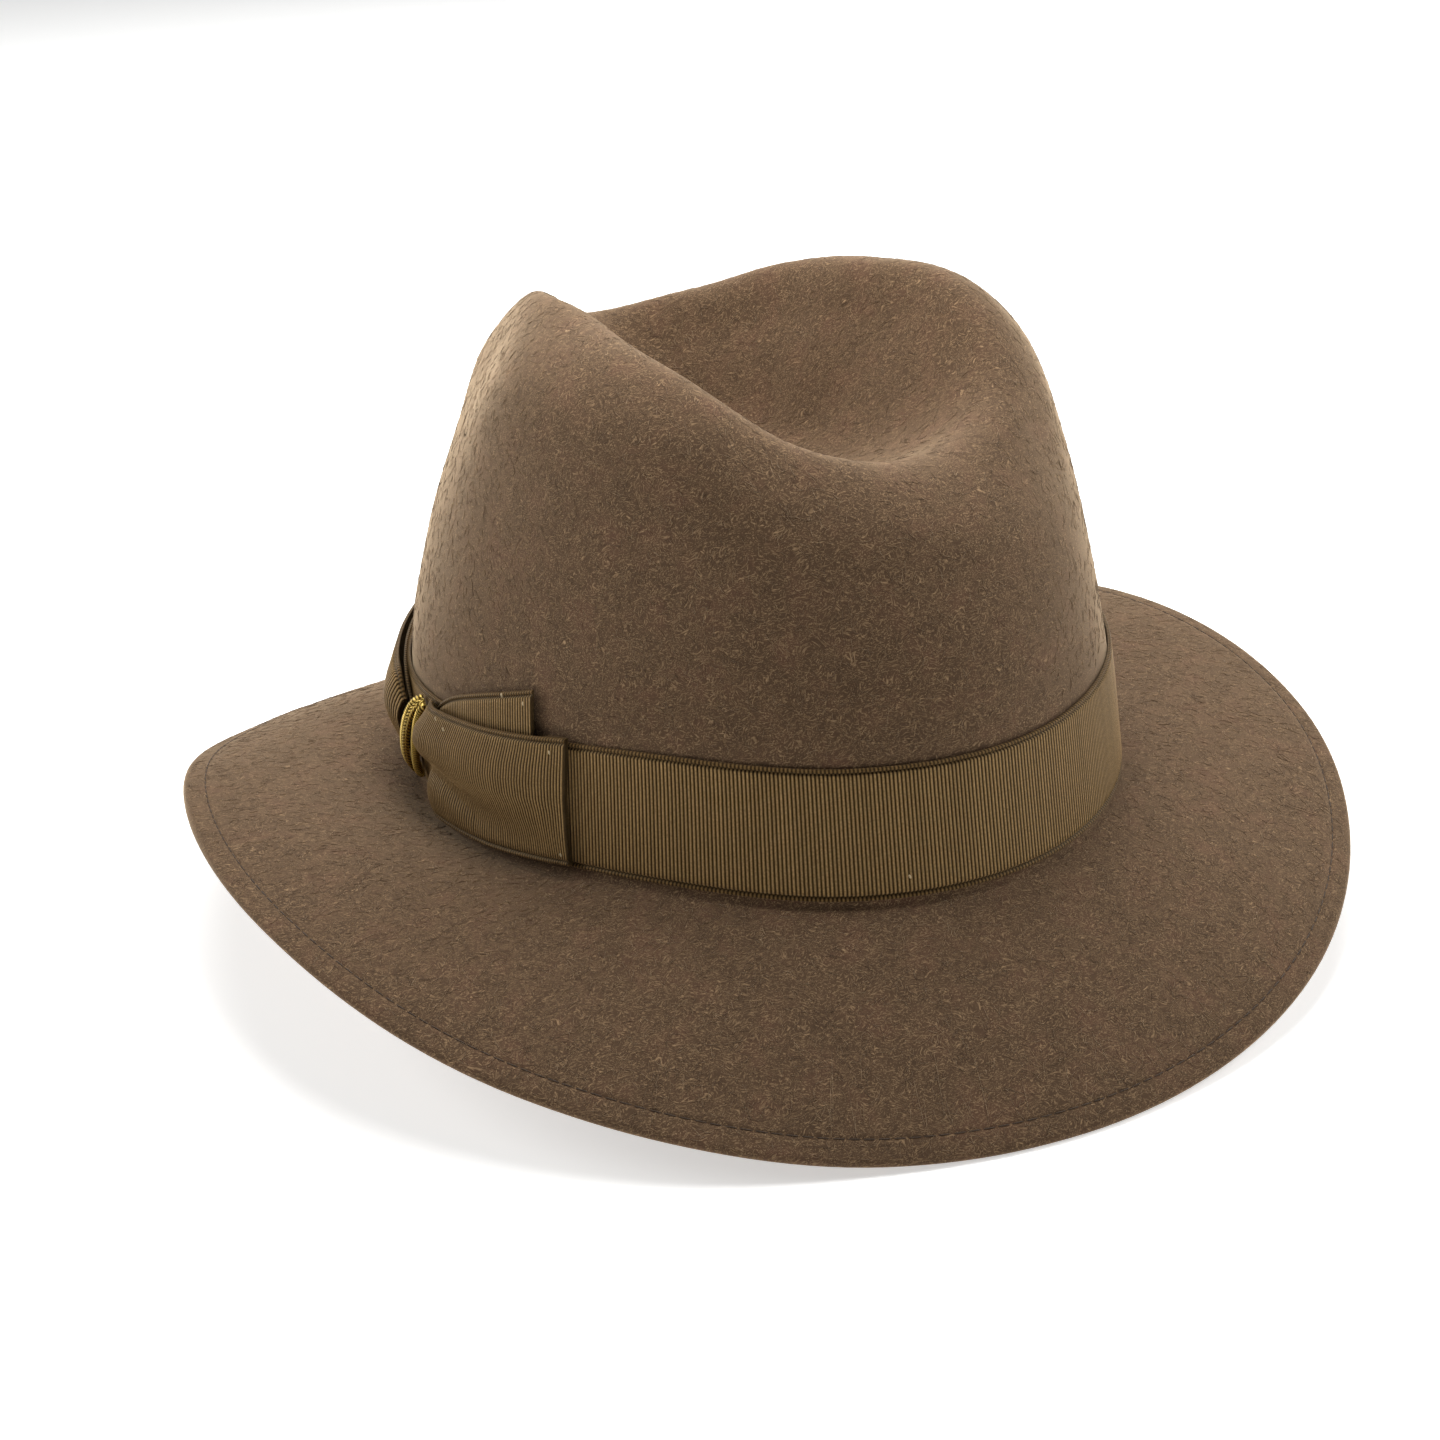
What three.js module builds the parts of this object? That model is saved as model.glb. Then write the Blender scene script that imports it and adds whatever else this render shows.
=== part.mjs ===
// Traveller hat: creased fur felt crown and drooping brim in one piece, ribbed ribbon, side bow.
// Millimetres, +Z up. The wearer faces -Y and the wearer's left is +X.
// The origin is on the surface that the brim rests on, under the middle of the whole hat.

import * as THREE from 'three'
import { mergeVertices } from 'three/addons/utils/BufferGeometryUtils.js'

// Driving dimensions

const HEAD_LENGTH = 204          // outside of the felt where the crown meets the brim, front to back
const HEAD_WIDTH = 170
const HEAD_SETBACK = 2.3         // how far the head oval's middle lies behind the middle of the whole hat
const BREAK_HEIGHT = 32.7        // mean height of the break line, crown to brim, above the surface
const CREASE_FLOOR = 83          // height of the crease's deepest point above the break line
const BAND_TOP = 34.6            // top edge of the ribbon above the break line
const CROWN_LEAN = 2.5           // degrees by which the crown leans forward above the ribbon
const FELT_THICKNESS = 1.6
const BRIM_WIDTH = 62            // along the felt, from the end of the turn at the crown to the edge
const BRIM_ROLL = 10             // degrees by which the brim steepens from its middle to its edge
const BREAK_RADIUS = 2.5         // radius with which the crown turns out into the brim
const WELT_WIDTH = 7             // the edge is turned under and stitched down over this width
const WELT_STEP = 1              // width over which the doubled edge ends
const WELT_THICKNESS = 3
const REST_STRIP = 1.5           // width of the edge that lies flat where the brim rests
const RIBBON_THICKNESS = 1
const GAP = 0.3                  // clearance between neighbouring pieces
const KNOT_ANGLE = 68            // place of the bow's knot, degrees from the front towards the left
const KNOT_SLANT = 8             // degrees round the head by which its top lies behind its foot
const KNOT_WIDTH = 4.4
const KNOT_HEIGHT = 26
const KNOT_DEPTH = 5.6
const KNOT_CLEARANCE = 1.1       // from the ribbon at its edges, since the ribbon swells between them
const KNOT_LIFT = 4              // how far the knot's lower end stands above the ribbon's lower edge

// Sections of the felt round the head, every 30 degrees from the front towards the wearer's left.
// Reaches are parts of the head oval, heights and drops are millimetres, droop is degrees.
// Heights are above the mean break line, and breakLift is how far that line rises or falls here.
const SECTIONS = [
  { name: 'front', breakLift: -3.2, bandReach: 0.969, middleReach: 0.928,
    upperReach: 0.858, shoulderReach: 0.755, shoulderDrop: 12.5,
    rimReach: 0.619, rimHeight: 107.1, droop: 24.9 },
  { name: 'front, a little left', breakLift: -1.8, bandReach: 0.991, middleReach: 0.925,
    upperReach: 0.817, shoulderReach: 0.735, shoulderDrop: 14,
    rimReach: 0.553, rimHeight: 120.2, droop: 12.6 },
  { name: 'front left', breakLift: -3.6, bandReach: 1.008, middleReach: 0.93,
    upperReach: 0.815, shoulderReach: 0.688, shoulderDrop: 16.6,
    rimReach: 0.519, rimHeight: 126.6, droop: -7.6 },
  { name: 'left', breakLift: 0.9, bandReach: 0.987, middleReach: 0.922,
    upperReach: 0.845, shoulderReach: 0.744, shoulderDrop: 10.3,
    rimReach: 0.501, rimHeight: 126.6, droop: -2.3 },
  { name: 'rear left', breakLift: 5.6, bandReach: 0.961, middleReach: 0.925,
    upperReach: 0.867, shoulderReach: 0.786, shoulderDrop: 9.7,
    rimReach: 0.613, rimHeight: 122.5, droop: 20.1 },
  { name: 'rear, a little left', breakLift: 4, bandReach: 0.954, middleReach: 0.938,
    upperReach: 0.889, shoulderReach: 0.816, shoulderDrop: 10.4,
    rimReach: 0.687, rimHeight: 106, droop: 33.8 },
  { name: 'rear', breakLift: 3.2, bandReach: 0.961, middleReach: 0.948,
    upperReach: 0.899, shoulderReach: 0.84, shoulderDrop: 10,
    rimReach: 0.69, rimHeight: 98, droop: 33.1 },
  { name: 'rear, a little right', breakLift: 4.3, bandReach: 0.963, middleReach: 0.931,
    upperReach: 0.891, shoulderReach: 0.814, shoulderDrop: 10.1,
    rimReach: 0.697, rimHeight: 104, droop: 23.5 },
  { name: 'rear right', breakLift: 4.8, bandReach: 0.965, middleReach: 0.918,
    upperReach: 0.866, shoulderReach: 0.787, shoulderDrop: 10.1,
    rimReach: 0.614, rimHeight: 123, droop: 9.8 },
  { name: 'right', breakLift: 0.9, bandReach: 0.976, middleReach: 0.92,
    upperReach: 0.845, shoulderReach: 0.744, shoulderDrop: 10.4,
    rimReach: 0.488, rimHeight: 124.4, droop: 1.3 },
  { name: 'front right', breakLift: -3.6, bandReach: 0.979, middleReach: 0.923,
    upperReach: 0.821, shoulderReach: 0.701, shoulderDrop: 13,
    rimReach: 0.485, rimHeight: 120, droop: 6.6 },
  { name: 'front, a little right', breakLift: -5.8, bandReach: 0.974, middleReach: 0.925,
    upperReach: 0.83, shoulderReach: 0.729, shoulderDrop: 14.1,
    rimReach: 0.491, rimHeight: 112.8, droop: 22.7 },
]

// How far up the wall, from the ribbon's top to the shoulder, the middle and upper stations lie
const MIDDLE_RISE = 0.38
const UPPER_RISE = 0.72

// The dished top inside the rim, from the crease's deepest point outwards
const DISH = [
  { reach: 0, rise: 0 },
  { reach: 0.35, rise: 0.1 },
  { reach: 0.72, rise: 0.62 },
]

// Ribbon pieces of the bow, one row for each section along the ribbon.
// Angles are round the head, low and high are parts of the band's height, offset is from the felt,
// and crown is how far the middle of the ribbon swells past its edges.
const REAR_WING = [
  { angle: 72.4, low: 0.28, high: 0.76, offset: 4.8, crown: 1 },
  { angle: 75, low: 0.08, high: 0.9, offset: 4.4, crown: 1.5 },
  { angle: 80, low: 0, high: 0.96, offset: 4.1, crown: 1.2 },
  { angle: 88, low: -0.01, high: 0.99, offset: 4, crown: 0.6 },
  { angle: 97, low: 0.01, high: 1.01, offset: 4, crown: 0.2 },
  { angle: 107.5, low: 0.03, high: 1.04, offset: 4, crown: 0 },
]
const UPPER_TAIL = [
  { angle: 73.5, low: 0.3, high: 0.74, offset: 2.65, crown: 0 },
  { angle: 81, low: 0.28, high: 1.12, offset: 2.65, crown: 0 },
  { angle: 91, low: 0.32, high: 1.3, offset: 2.65, crown: 0 },
  { angle: 102, low: 0.38, high: 1.38, offset: 2.65, crown: 0 },
]
const FRONT_LOOP = [
  { angle: 64.3, low: 0.3, high: 0.74, offset: 1.65, crown: 0 },
  { angle: 55, low: 0.06, high: 0.94, offset: 1.65, crown: 0 },
  { angle: 42, low: 0, high: 1, offset: 1.65, crown: 0 },
  { angle: 29, low: 0, high: 1, offset: 1.75, crown: 0 },
  { angle: 25, low: 0, high: 1, offset: 3.2, crown: 0 },
  { angle: 30, low: 0, high: 1, offset: 4.4, crown: 0 },
  { angle: 40, low: 0, high: 1, offset: 4.4, crown: 0 },
  { angle: 50, low: 0, high: 1, offset: 5.2, crown: 0.2 },
  { angle: 58, low: 0.04, high: 0.97, offset: 6.8, crown: 0.6 },
  { angle: 64.3, low: 0.3, high: 0.74, offset: 5.2, crown: 0.6 },
]

// How finely the surfaces are divided
const ROUND_STEPS = 60
const STATION_STEPS = 2
const FILLET_STEPS = 2
const BRIM_STEPS = 4
const RIBBON_COLUMNS = 4
const BOW_STEPS_PER_SECTION = 3

const FELT_COLOUR = 0x6f5843
const RIBBON_COLOUR = 0x5c4829
const KNOT_COLOUR = 0xb09a3e

// Curves

const degrees = THREE.MathUtils.degToRad

// A smooth value between b and c with a and d as the neighbours beyond them
function smooth(a, b, c, d, t) {
  const slope = (c - a) * t
  const bend = (2 * a - 5 * b + 4 * c - d) * t * t
  const twist = (3 * b - a - 3 * c + d) * t * t * t
  return 0.5 * (2 * b + slope + bend + twist)
}

// One column of the section table at any angle round the head
function sectionValue(column, theta) {
  const count = SECTIONS.length
  const place = ((theta / (2 * Math.PI)) * count + count) % count
  const first = Math.floor(place)
  const [a, b, c, d] = [-1, 0, 1, 2].map((step) => SECTIONS[(first + step + count) % count][column])
  return smooth(a, b, c, d, place - first)
}

// A point on an open list of rows, for the columns that hold numbers
function rowValue(rows, column, place) {
  const first = Math.min(Math.floor(place), rows.length - 2)
  const b = rows[first][column]
  const c = rows[first + 1][column]
  const a = first > 0 ? rows[first - 1][column] : 2 * b - c
  const d = first + 2 < rows.length ? rows[first + 2][column] : 2 * c - b
  return smooth(a, b, c, d, place - first)
}

// The felt

// Stations of the crown at one angle, from the middle of the crease down to the break
function crownStations(theta) {
  const value = (column) => sectionValue(column, theta)
  const rim = value('rimHeight')
  const bandTop = value('breakLift') + BAND_TOP
  const shoulder = rim - value('shoulderDrop')
  const dish = DISH.map((row) => ({
    reach: value('rimReach') * row.reach,
    height: CREASE_FLOOR + (rim - CREASE_FLOOR) * row.rise,
  }))
  return [
    ...dish,
    { reach: value('rimReach'), height: rim },
    { reach: value('shoulderReach'), height: shoulder },
    { reach: value('upperReach'), height: bandTop + (shoulder - bandTop) * UPPER_RISE },
    { reach: value('middleReach'), height: bandTop + (shoulder - bandTop) * MIDDLE_RISE },
    { reach: value('bandReach'), height: bandTop },
    { reach: 1, height: value('breakLift') + BREAK_RADIUS },
  ]
}

const LAST_STATION = 8
const BAND_STATION = LAST_STATION - 1

function ovalPoint(theta, reach, height) {
  const lean = Math.max(height - BAND_TOP, 0) * Math.tan(degrees(CROWN_LEAN))
  const x = (HEAD_WIDTH / 2) * reach * Math.sin(theta)
  const y = HEAD_SETBACK - lean - (HEAD_LENGTH / 2) * reach * Math.cos(theta)
  return new THREE.Vector3(x, y, BREAK_HEIGHT + height)
}

// Level direction that leaves the head oval squarely
function outward(theta) {
  const x = Math.sin(theta) / HEAD_WIDTH
  const y = -Math.cos(theta) / HEAD_LENGTH
  return new THREE.Vector3(x, y, 0).normalize()
}

function crownPoint(theta, place) {
  const stations = crownStations(theta)
  return ovalPoint(theta, rowValue(stations, 'reach', place), rowValue(stations, 'height', place))
}

// Points of the brim at one angle, out from the break: a short fillet, then the brim itself
function brimPoints(theta) {
  const droop = sectionValue('droop', theta)
  const out = outward(theta)
  const point = crownPoint(theta, LAST_STATION)
  const points = []
  const walk = (length, slope) => {
    point.addScaledVector(out, length * Math.cos(degrees(slope)))
    point.z -= length * Math.sin(degrees(slope))
  }
  const filletTurn = (90 - droop + BRIM_ROLL) / FILLET_STEPS
  for (let step = 0; step < FILLET_STEPS; step += 1) {
    walk(BREAK_RADIUS * degrees(filletTurn), 90 - filletTurn * (step + 0.5))
    points.push({ point: point.clone(), depth: FELT_THICKNESS })
  }
  const plainWidth = BRIM_WIDTH - WELT_WIDTH - WELT_STEP
  const stops = []
  for (let step = 1; step <= BRIM_STEPS; step += 1) {
    stops.push({ at: (plainWidth * step) / BRIM_STEPS, depth: FELT_THICKNESS })
  }
  stops.push({ at: BRIM_WIDTH - WELT_WIDTH, depth: WELT_THICKNESS })
  stops.push({ at: BRIM_WIDTH - REST_STRIP, depth: WELT_THICKNESS })
  stops.push({ at: BRIM_WIDTH, depth: WELT_THICKNESS })
  let from = 0
  for (const stop of stops) {
    const middle = (from + stop.at) / 2 / BRIM_WIDTH
    walk(stop.at - from, droop + BRIM_ROLL * (2 * middle - 1))
    points.push({ point: point.clone(), depth: stop.depth })
    from = stop.at
  }
  return points
}

const roundAngles = Array.from({ length: ROUND_STEPS }, (_, step) => (step / ROUND_STEPS) * 2 * Math.PI)

function feltSheet() {
  const rows = []
  for (let step = 0; step <= LAST_STATION * STATION_STEPS; step += 1) {
    const place = step / STATION_STEPS
    rows.push(roundAngles.map((theta) => ({ point: crownPoint(theta, place), depth: FELT_THICKNESS })))
  }
  const brims = roundAngles.map(brimPoints)
  for (let row = 0; row < brims[0].length; row += 1) {
    rows.push(brims.map((points) => points[row]))
  }
  return rows
}

// Solids

// Triangles of a sheet of points, its rows and columns in order, closed round the head or open
function sheetGeometry(rows, closedRound) {
  const width = rows[0].length
  const positions = rows.flat().flatMap(({ point }) => point.toArray())
  const depths = rows.flat().map(({ depth }) => depth)
  const index = []
  const lastColumn = closedRound ? width : width - 1
  for (let row = 0; row < rows.length - 1; row += 1) {
    for (let column = 0; column < lastColumn; column += 1) {
      const next = (column + 1) % width
      const [a, b] = [row * width + column, row * width + next]
      const [c, d] = [a + width, b + width]
      index.push(a, c, d, a, d, b)
    }
  }
  const sheet = new THREE.BufferGeometry()
  sheet.setAttribute('position', new THREE.Float32BufferAttribute(positions, 3))
  sheet.setAttribute('depth', new THREE.Float32BufferAttribute(depths, 1))
  sheet.setIndex(index)
  const merged = mergeVertices(sheet, 1e-3)
  const kept = []
  for (let face = 0; face < merged.index.count; face += 3) {
    const corners = [0, 1, 2].map((corner) => merged.index.getX(face + corner))
    if (new Set(corners).size === 3) kept.push(...corners)
  }
  merged.setIndex(kept)
  merged.computeVertexNormals()
  return merged
}

// Closed wall: the sheet, a copy moved in by each point's depth, and the borders between the two
function wallGeometry(rows, closedRound, floor = -Infinity) {
  const sheet = sheetGeometry(rows, closedRound)
  const count = sheet.attributes.position.count
  const outer = []
  const inner = []
  for (let vertex = 0; vertex < count; vertex += 1) {
    const point = new THREE.Vector3().fromBufferAttribute(sheet.attributes.position, vertex)
    const normal = new THREE.Vector3().fromBufferAttribute(sheet.attributes.normal, vertex)
    outer.push(...point.toArray())
    point.addScaledVector(normal, -sheet.attributes.depth.getX(vertex))
    point.z = Math.max(point.z, floor)
    inner.push(...point.toArray())
  }
  const index = []
  const edges = new Set()
  const corners = Array.from(sheet.index.array)
  for (let face = 0; face < corners.length; face += 3) {
    const [a, b, c] = corners.slice(face, face + 3)
    index.push(a, b, c, c + count, b + count, a + count)
    for (const [from, to] of [[a, b], [b, c], [c, a]]) edges.add(`${from} ${to}`)
  }
  for (const edge of edges) {
    const [from, to] = edge.split(' ').map(Number)
    if (edges.has(`${to} ${from}`)) continue
    index.push(to, from, from + count, to, from + count, to + count)
  }
  const wall = new THREE.BufferGeometry()
  wall.setAttribute('position', new THREE.Float32BufferAttribute([...outer, ...inner], 3))
  wall.setIndex(index)
  wall.computeVertexNormals()
  return wall
}

function feltBody() {
  return wallGeometry(feltSheet(), true, 0)
}

// The ribbon's wall follows the felt's own divisions, one clearance outside it
function ribbonBand() {
  const rows = []
  const lift = GAP + RIBBON_THICKNESS
  for (let step = 0; step <= STATION_STEPS; step += 1) {
    const place = BAND_STATION + step / STATION_STEPS
    rows.push(roundAngles.map((theta) => {
      const point = crownPoint(theta, place).addScaledVector(outward(theta), lift)
      return { point, depth: RIBBON_THICKNESS }
    }))
  }
  return wallGeometry(rows, true)
}

// A point over the band: part of its height, and millimetres out from the felt
function bandPoint(theta, part, offset) {
  const point = crownPoint(theta, Math.min(LAST_STATION - part, LAST_STATION))
  if (part < 0) point.z += part * (BAND_TOP - BREAK_RADIUS)
  return point.addScaledVector(outward(theta), offset)
}

// A length of ribbon from the rows of one of the bow's tables
function bowRibbon(sections) {
  const rows = []
  const stepCount = (sections.length - 1) * BOW_STEPS_PER_SECTION
  for (let step = 0; step <= stepCount; step += 1) {
    const value = (column) => rowValue(sections, column, step / BOW_STEPS_PER_SECTION)
    const row = []
    for (let column = 0; column <= RIBBON_COLUMNS; column += 1) {
      const across = column / RIBBON_COLUMNS
      const part = THREE.MathUtils.lerp(value('low'), value('high'), across)
      const swell = value('crown') * Math.sin(Math.PI * across)
      const point = bandPoint(degrees(value('angle')), part, value('offset') + swell)
      row.push({ point, depth: RIBBON_THICKNESS })
    }
    rows.push(row)
  }
  return wallGeometry(rows, false)
}

// The knot is cord wound over the bow's waist: half an oval, rounded at its sides
function knotGeometry() {
  const bevel = KNOT_WIDTH / 4
  const outline = new THREE.Shape()
  outline.moveTo(bevel, bevel - KNOT_HEIGHT / 2)
  outline.absellipse(bevel, 0, KNOT_DEPTH - 2 * bevel, KNOT_HEIGHT / 2 - bevel, -Math.PI / 2, Math.PI / 2)
  outline.closePath()
  return new THREE.ExtrudeGeometry(outline, {
    depth: KNOT_WIDTH - 2 * bevel,
    bevelThickness: bevel,
    bevelSize: bevel,
    bevelSegments: 2,
    curveSegments: 12,
  }).translate(0, 0, bevel - KNOT_WIDTH / 2)
}

// Assembly

const hat = new THREE.Group()

function addPiece(name, geometry, colour, roughness, metalness = 0) {
  const material = new THREE.MeshStandardMaterial({ color: colour, roughness, metalness })
  const piece = new THREE.Mesh(geometry, material)
  piece.name = name
  hat.add(piece)
  return piece
}

addPiece('felt_body', feltBody(), FELT_COLOUR, 0.95)
addPiece('ribbon_band', ribbonBand(), RIBBON_COLOUR, 0.7)
addPiece('bow_rear_wing', bowRibbon(REAR_WING), RIBBON_COLOUR, 0.7)
addPiece('bow_upper_tail', bowRibbon(UPPER_TAIL), RIBBON_COLOUR, 0.7)
addPiece('bow_front_loop', bowRibbon(FRONT_LOOP), RIBBON_COLOUR, 0.7)

// The knot's own axes: out from the felt, up along the knot, and back along the band
const knot = addPiece('bow_knot', knotGeometry(), KNOT_COLOUR, 0.35, 0.8)
const knotStandoff = GAP + RIBBON_THICKNESS + KNOT_CLEARANCE
const bandFoot = bandPoint(degrees(KNOT_ANGLE - KNOT_SLANT / 2), 0, knotStandoff)
const bandHead = bandPoint(degrees(KNOT_ANGLE + KNOT_SLANT / 2), 1, knotStandoff)
const knotLine = bandHead.clone().sub(bandFoot)
const knotPart = (KNOT_LIFT + KNOT_HEIGHT / 2) / knotLine.length()
const up = knotLine.clone().normalize()
const back = new THREE.Vector3().crossVectors(outward(degrees(KNOT_ANGLE)), up).normalize()
const out = new THREE.Vector3().crossVectors(up, back)
knot.setRotationFromMatrix(new THREE.Matrix4().makeBasis(out, up, back))
knot.position.copy(bandFoot).addScaledVector(knotLine, knotPart)

export default hat
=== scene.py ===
# Traveller hat in brown fur felt, with a grosgrain ribbon, a side bow and a knot of gold gimp cord.
# The tables are in millimetres, the scene in metres, +Z up. The wearer faces -Y and has the bow at +X.

import bpy
import math
import numpy as np
from mathutils import Matrix, Vector


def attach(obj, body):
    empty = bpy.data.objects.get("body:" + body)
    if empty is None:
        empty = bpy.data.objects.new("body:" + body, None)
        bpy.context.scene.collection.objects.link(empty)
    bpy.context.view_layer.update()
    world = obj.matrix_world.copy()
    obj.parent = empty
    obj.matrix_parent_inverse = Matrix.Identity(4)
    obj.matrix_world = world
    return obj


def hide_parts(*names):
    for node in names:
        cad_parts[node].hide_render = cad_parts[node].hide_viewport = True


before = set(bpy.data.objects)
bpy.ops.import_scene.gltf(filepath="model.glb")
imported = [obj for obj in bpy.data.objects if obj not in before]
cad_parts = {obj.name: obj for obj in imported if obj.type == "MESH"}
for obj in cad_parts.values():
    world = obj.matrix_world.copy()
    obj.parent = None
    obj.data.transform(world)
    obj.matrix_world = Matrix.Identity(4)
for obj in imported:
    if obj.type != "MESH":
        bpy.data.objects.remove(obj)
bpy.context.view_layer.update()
mm = 0.001
print("frame loaded")


# Camera, light and floor

view = {
    "azimuth": 143.26,          # degrees round from the front, towards the wearer's left
    "elevation": 25.55,
    "roll": -3.04,
    "from": (0, 0.0023, 0.0327),
    "distance": 0.6425,         # metres from that point, along those angles
    "right": -0.0112,           # the camera stands this far right of that line
    "up": 0.00719,              # and this far above it
    "lens": 59.67,
    "sensor": 36,
}

studio = {
    "backdrop": 0.62,           # brightness of the pale backdrop that stands all round
    "ceiling": 0.05,            # and of the room above it
    "backdropTop": (2, 13),     # elevations in degrees between which the backdrop fades into the room
    "floorSize": 30,
    "floorDrop": 0.2,           # millimetres below the hat, so the two never share a face
    "floorColour": "#f6f6f4",
    "floorGlow": 0.52,          # the floor is a light table, so shadows on it stay pale
}

# each softbox faces the hat from its azimuth and elevation: distance and size in metres, power in watts
softboxes = [
    {"name": "overheadSoftbox", "at": (143, 86), "distance": 0.38, "size": 0.24, "power": 1.1},
    {"name": "leftSoftbox", "at": (48, 28), "distance": 1.5, "size": 0.9, "power": 12.5},
    {"name": "rightSoftbox", "at": (242, 30), "distance": 1.5, "size": 0.9, "power": 13.5},
    {"name": "backPanel", "at": (323, 50), "distance": 1.3, "size": 1.2, "power": 17},
]


def cameraAxes(azimuth, elevation, roll=0):
    a, e, r = (math.radians(v) for v in (azimuth, elevation, roll))
    back = Vector((math.sin(a) * math.cos(e), -math.cos(a) * math.cos(e), math.sin(e)))
    right = (-back).cross(Vector((0, 0, 1))).normalized()
    up = right.cross(-back)
    return right * math.cos(r) + up * math.sin(r), up * math.cos(r) - right * math.sin(r), back


def aimed(axes, place):
    return Matrix.Translation(place) @ Matrix(axes).transposed().to_4x4()


def makeCamera():
    data = bpy.data.cameras.new("studioCamera")
    data.lens = view["lens"]
    data.sensor_width = view["sensor"]
    data.clip_start = 0.01
    camera = bpy.data.objects.new("studioCamera", data)
    axes = cameraAxes(view["azimuth"], view["elevation"], view["roll"])
    right, up, back = axes
    place = Vector(view["from"]) + back * view["distance"] + right * view["right"] + up * view["up"]
    camera.matrix_world = aimed(axes, place)
    bpy.context.collection.objects.link(camera)
    bpy.context.scene.camera = camera


def linearColour(code):
    parts = [int(code[i:i + 2], 16) / 255 for i in (1, 3, 5)]
    return (*[c / 12.92 if c <= 0.04045 else ((c + 0.055) / 1.055) ** 2.4 for c in parts], 1)


def addNode(tree, kind, values=None, links=None, ramp=None, **settings):
    # one node with its settings, its sockets' values, its links and its ramp's stops
    node = tree.nodes.new(kind)
    for name, value in settings.items():
        setattr(node, name, value)
    for name, value in (values or {}).items():
        node.inputs[name].default_value = value
    for name, source in (links or {}).items():
        tree.links.new(source, node.inputs[name])
    if ramp:
        stops = node.color_ramp.elements
        for place, colour in ramp[1:-1]:
            stops.new(place)
        for stop, (place, colour) in zip(stops, ramp):
            stop.position = place
            stop.color = linearColour(colour)
    return node


def makeStudio():
    world = bpy.data.worlds.new("softRoom")
    bpy.context.scene.world = world
    world.use_nodes = True
    tree = world.node_tree
    tree.nodes.clear()
    where = addNode(tree, "ShaderNodeTexCoord")
    upwards = addNode(tree, "ShaderNodeSeparateXYZ", {}, {0: where.outputs["Generated"]})
    low, high = (math.sin(math.radians(angle)) for angle in studio["backdropTop"])
    level = addNode(tree, "ShaderNodeMapRange",
                    {1: low, 2: high, 3: studio["backdrop"], 4: studio["ceiling"]},
                    {0: upwards.outputs["Z"]}, interpolation_type="SMOOTHSTEP")
    room = addNode(tree, "ShaderNodeBackground", {0: (1, 1, 1, 1)}, {1: level.outputs[0]})
    addNode(tree, "ShaderNodeOutputWorld", links={0: room.outputs[0]})
    for box in softboxes:
        data = bpy.data.lights.new(box["name"], "AREA")
        data.shape = "DISK"
        data.size = box["size"]
        data.energy = box["power"]
        lamp = bpy.data.objects.new(box["name"], data)
        axes = cameraAxes(*box["at"])
        lamp.matrix_world = aimed(axes, Vector(view["from"]) + axes[2] * box["distance"])
        bpy.context.collection.objects.link(lamp)
    bpy.ops.mesh.primitive_plane_add(size=studio["floorSize"], location=(0, 0, -studio["floorDrop"] * mm))
    floor = bpy.context.object
    floor.name = "studioFloor"
    # coated background paper: matt and nearly white, so it shows only a soft, pale shadow
    paper = bpy.data.materials.new("matt background paper")
    paper.use_nodes = True
    shader = paper.node_tree.nodes["Principled BSDF"]
    shader.inputs["Base Color"].default_value = linearColour(studio["floorColour"])
    shader.inputs["Roughness"].default_value = 0.95
    shader.inputs["Emission Color"].default_value = (1, 1, 1, 1)
    shader.inputs["Emission Strength"].default_value = studio["floorGlow"]
    floor.data.materials.append(paper)
    bpy.context.scene.view_settings.view_transform = "Standard"
    bpy.context.scene.view_settings.look = "None"


makeCamera()
makeStudio()
print("camera, light and floor made")


# The felt's form. Each list has a value every 30 degrees round the head, from the front towards the
# wearer's left. Reaches are parts of the head oval, heights and drops millimetres, droop degrees.

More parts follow.
